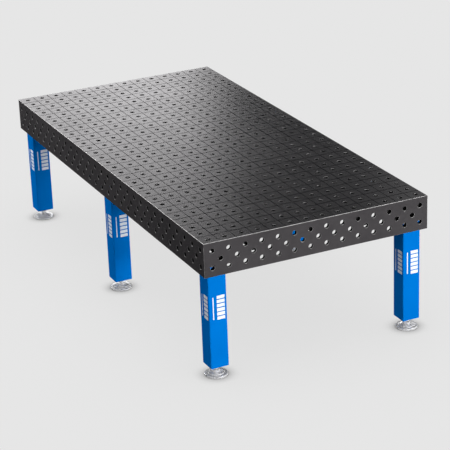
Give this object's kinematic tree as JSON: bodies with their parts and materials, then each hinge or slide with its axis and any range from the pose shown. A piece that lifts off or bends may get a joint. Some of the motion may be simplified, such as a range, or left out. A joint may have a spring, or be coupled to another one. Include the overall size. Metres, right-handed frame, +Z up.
{
  "type": "welding table",
  "caption": "Perforated steel welding table with a scribed hole grid on top, perforated deep sides, square painted legs and round levelling feet.",
  "frame": {"origin": "on the floor under the middle of the table", "axes": "+Z up, +Y along the table away from the front end, +X across it to the right"},
  "size_m": [1.4, 2.9, 0.83],
  "materials": {
    "table_steel": "blackened, satin",
    "leg_paint": "satin powder coat",
    "plated_steel": "zinc plated",
    "polished_steel": "polished"
  },
  "bodies": {
    "table": {"top_plate": "table_steel", "end_plate_front": "table_steel", "end_plate_rear": "table_steel", "side_plate_left": "table_steel", "side_plate_right": "table_steel", "long_rib_1": "table_steel", "long_rib_2": "table_steel", "long_rib_3": "table_steel", "long_rib_4": "table_steel", "long_rib_5": "table_steel", "cross_rib_1": "table_steel", "cross_rib_2": "table_steel", "cross_rib_3": "table_steel", "cross_rib_4": "table_steel", "cross_rib_5": "table_steel", "cross_rib_6": "table_steel", "seat_front_left": "table_steel", "leg_tube_front_left": "leg_paint", "leg_cap_front_left": "leg_paint", "leg_base_front_left": "leg_paint", "seat_front_right": "table_steel", "leg_tube_front_right": "leg_paint", "leg_cap_front_right": "leg_paint", "leg_base_front_right": "leg_paint", "seat_middle_left": "table_steel", "leg_tube_middle_left": "leg_paint", "leg_cap_middle_left": "leg_paint", "leg_base_middle_left": "leg_paint", "seat_middle_right": "table_steel", "leg_tube_middle_right": "leg_paint", "leg_cap_middle_right": "leg_paint", "leg_base_middle_right": "leg_paint", "seat_rear_left": "table_steel", "leg_tube_rear_left": "leg_paint", "leg_cap_rear_left": "leg_paint", "leg_base_rear_left": "leg_paint", "seat_rear_right": "table_steel", "leg_tube_rear_right": "leg_paint", "leg_cap_rear_right": "leg_paint", "leg_base_rear_right": "leg_paint", "lock_nuts": "plated_steel", "seat_washers": "plated_steel", "seat_bolts": "plated_steel"},
    "screw_front_left": {"spindle_front_left": "polished_steel"},
    "pad_front_left": {"foot_pad_front_left": "polished_steel"},
    "screw_front_right": {"spindle_front_right": "polished_steel"},
    "pad_front_right": {"foot_pad_front_right": "polished_steel"},
    "screw_middle_left": {"spindle_middle_left": "polished_steel"},
    "pad_middle_left": {"foot_pad_middle_left": "polished_steel"},
    "screw_middle_right": {"spindle_middle_right": "polished_steel"},
    "pad_middle_right": {"foot_pad_middle_right": "polished_steel"},
    "screw_rear_left": {"spindle_rear_left": "polished_steel"},
    "pad_rear_left": {"foot_pad_rear_left": "polished_steel"},
    "screw_rear_right": {"spindle_rear_right": "polished_steel"},
    "pad_rear_right": {"foot_pad_rear_right": "polished_steel"}
  },
  "joints": [
    {"name": "level_front_left", "type": "slide", "parent": "table", "child": "screw_front_left", "axis": [0, 0, -1], "range_m": [0, 0.05]},
    {"name": "tilt_front_left", "type": "hinge", "parent": "screw_front_left", "child": "pad_front_left", "pos_m": [-0.615, -1.365, 0.018], "axis": [1, 0, 0], "range_deg": [-8, 8]},
    {"name": "level_front_right", "type": "slide", "parent": "table", "child": "screw_front_right", "axis": [0, 0, -1], "range_m": [0, 0.05]},
    {"name": "tilt_front_right", "type": "hinge", "parent": "screw_front_right", "child": "pad_front_right", "pos_m": [0.615, -1.365, 0.018], "axis": [1, 0, 0], "range_deg": [-8, 8]},
    {"name": "level_middle_left", "type": "slide", "parent": "table", "child": "screw_middle_left", "axis": [0, 0, -1], "range_m": [0, 0.05]},
    {"name": "tilt_middle_left", "type": "hinge", "parent": "screw_middle_left", "child": "pad_middle_left", "pos_m": [-0.615, 0, 0.018], "axis": [1, 0, 0], "range_deg": [-8, 8]},
    {"name": "level_middle_right", "type": "slide", "parent": "table", "child": "screw_middle_right", "axis": [0, 0, -1], "range_m": [0, 0.05]},
    {"name": "tilt_middle_right", "type": "hinge", "parent": "screw_middle_right", "child": "pad_middle_right", "pos_m": [0.615, 0, 0.018], "axis": [1, 0, 0], "range_deg": [-8, 8]},
    {"name": "level_rear_left", "type": "slide", "parent": "table", "child": "screw_rear_left", "axis": [0, 0, -1], "range_m": [0, 0.05]},
    {"name": "tilt_rear_left", "type": "hinge", "parent": "screw_rear_left", "child": "pad_rear_left", "pos_m": [-0.615, 1.365, 0.018], "axis": [1, 0, 0], "range_deg": [-8, 8]},
    {"name": "level_rear_right", "type": "slide", "parent": "table", "child": "screw_rear_right", "axis": [0, 0, -1], "range_m": [0, 0.05]},
    {"name": "tilt_rear_right", "type": "hinge", "parent": "screw_rear_right", "child": "pad_rear_right", "pos_m": [0.615, 1.365, 0.018], "axis": [1, 0, 0], "range_deg": [-8, 8]}
  ]
}
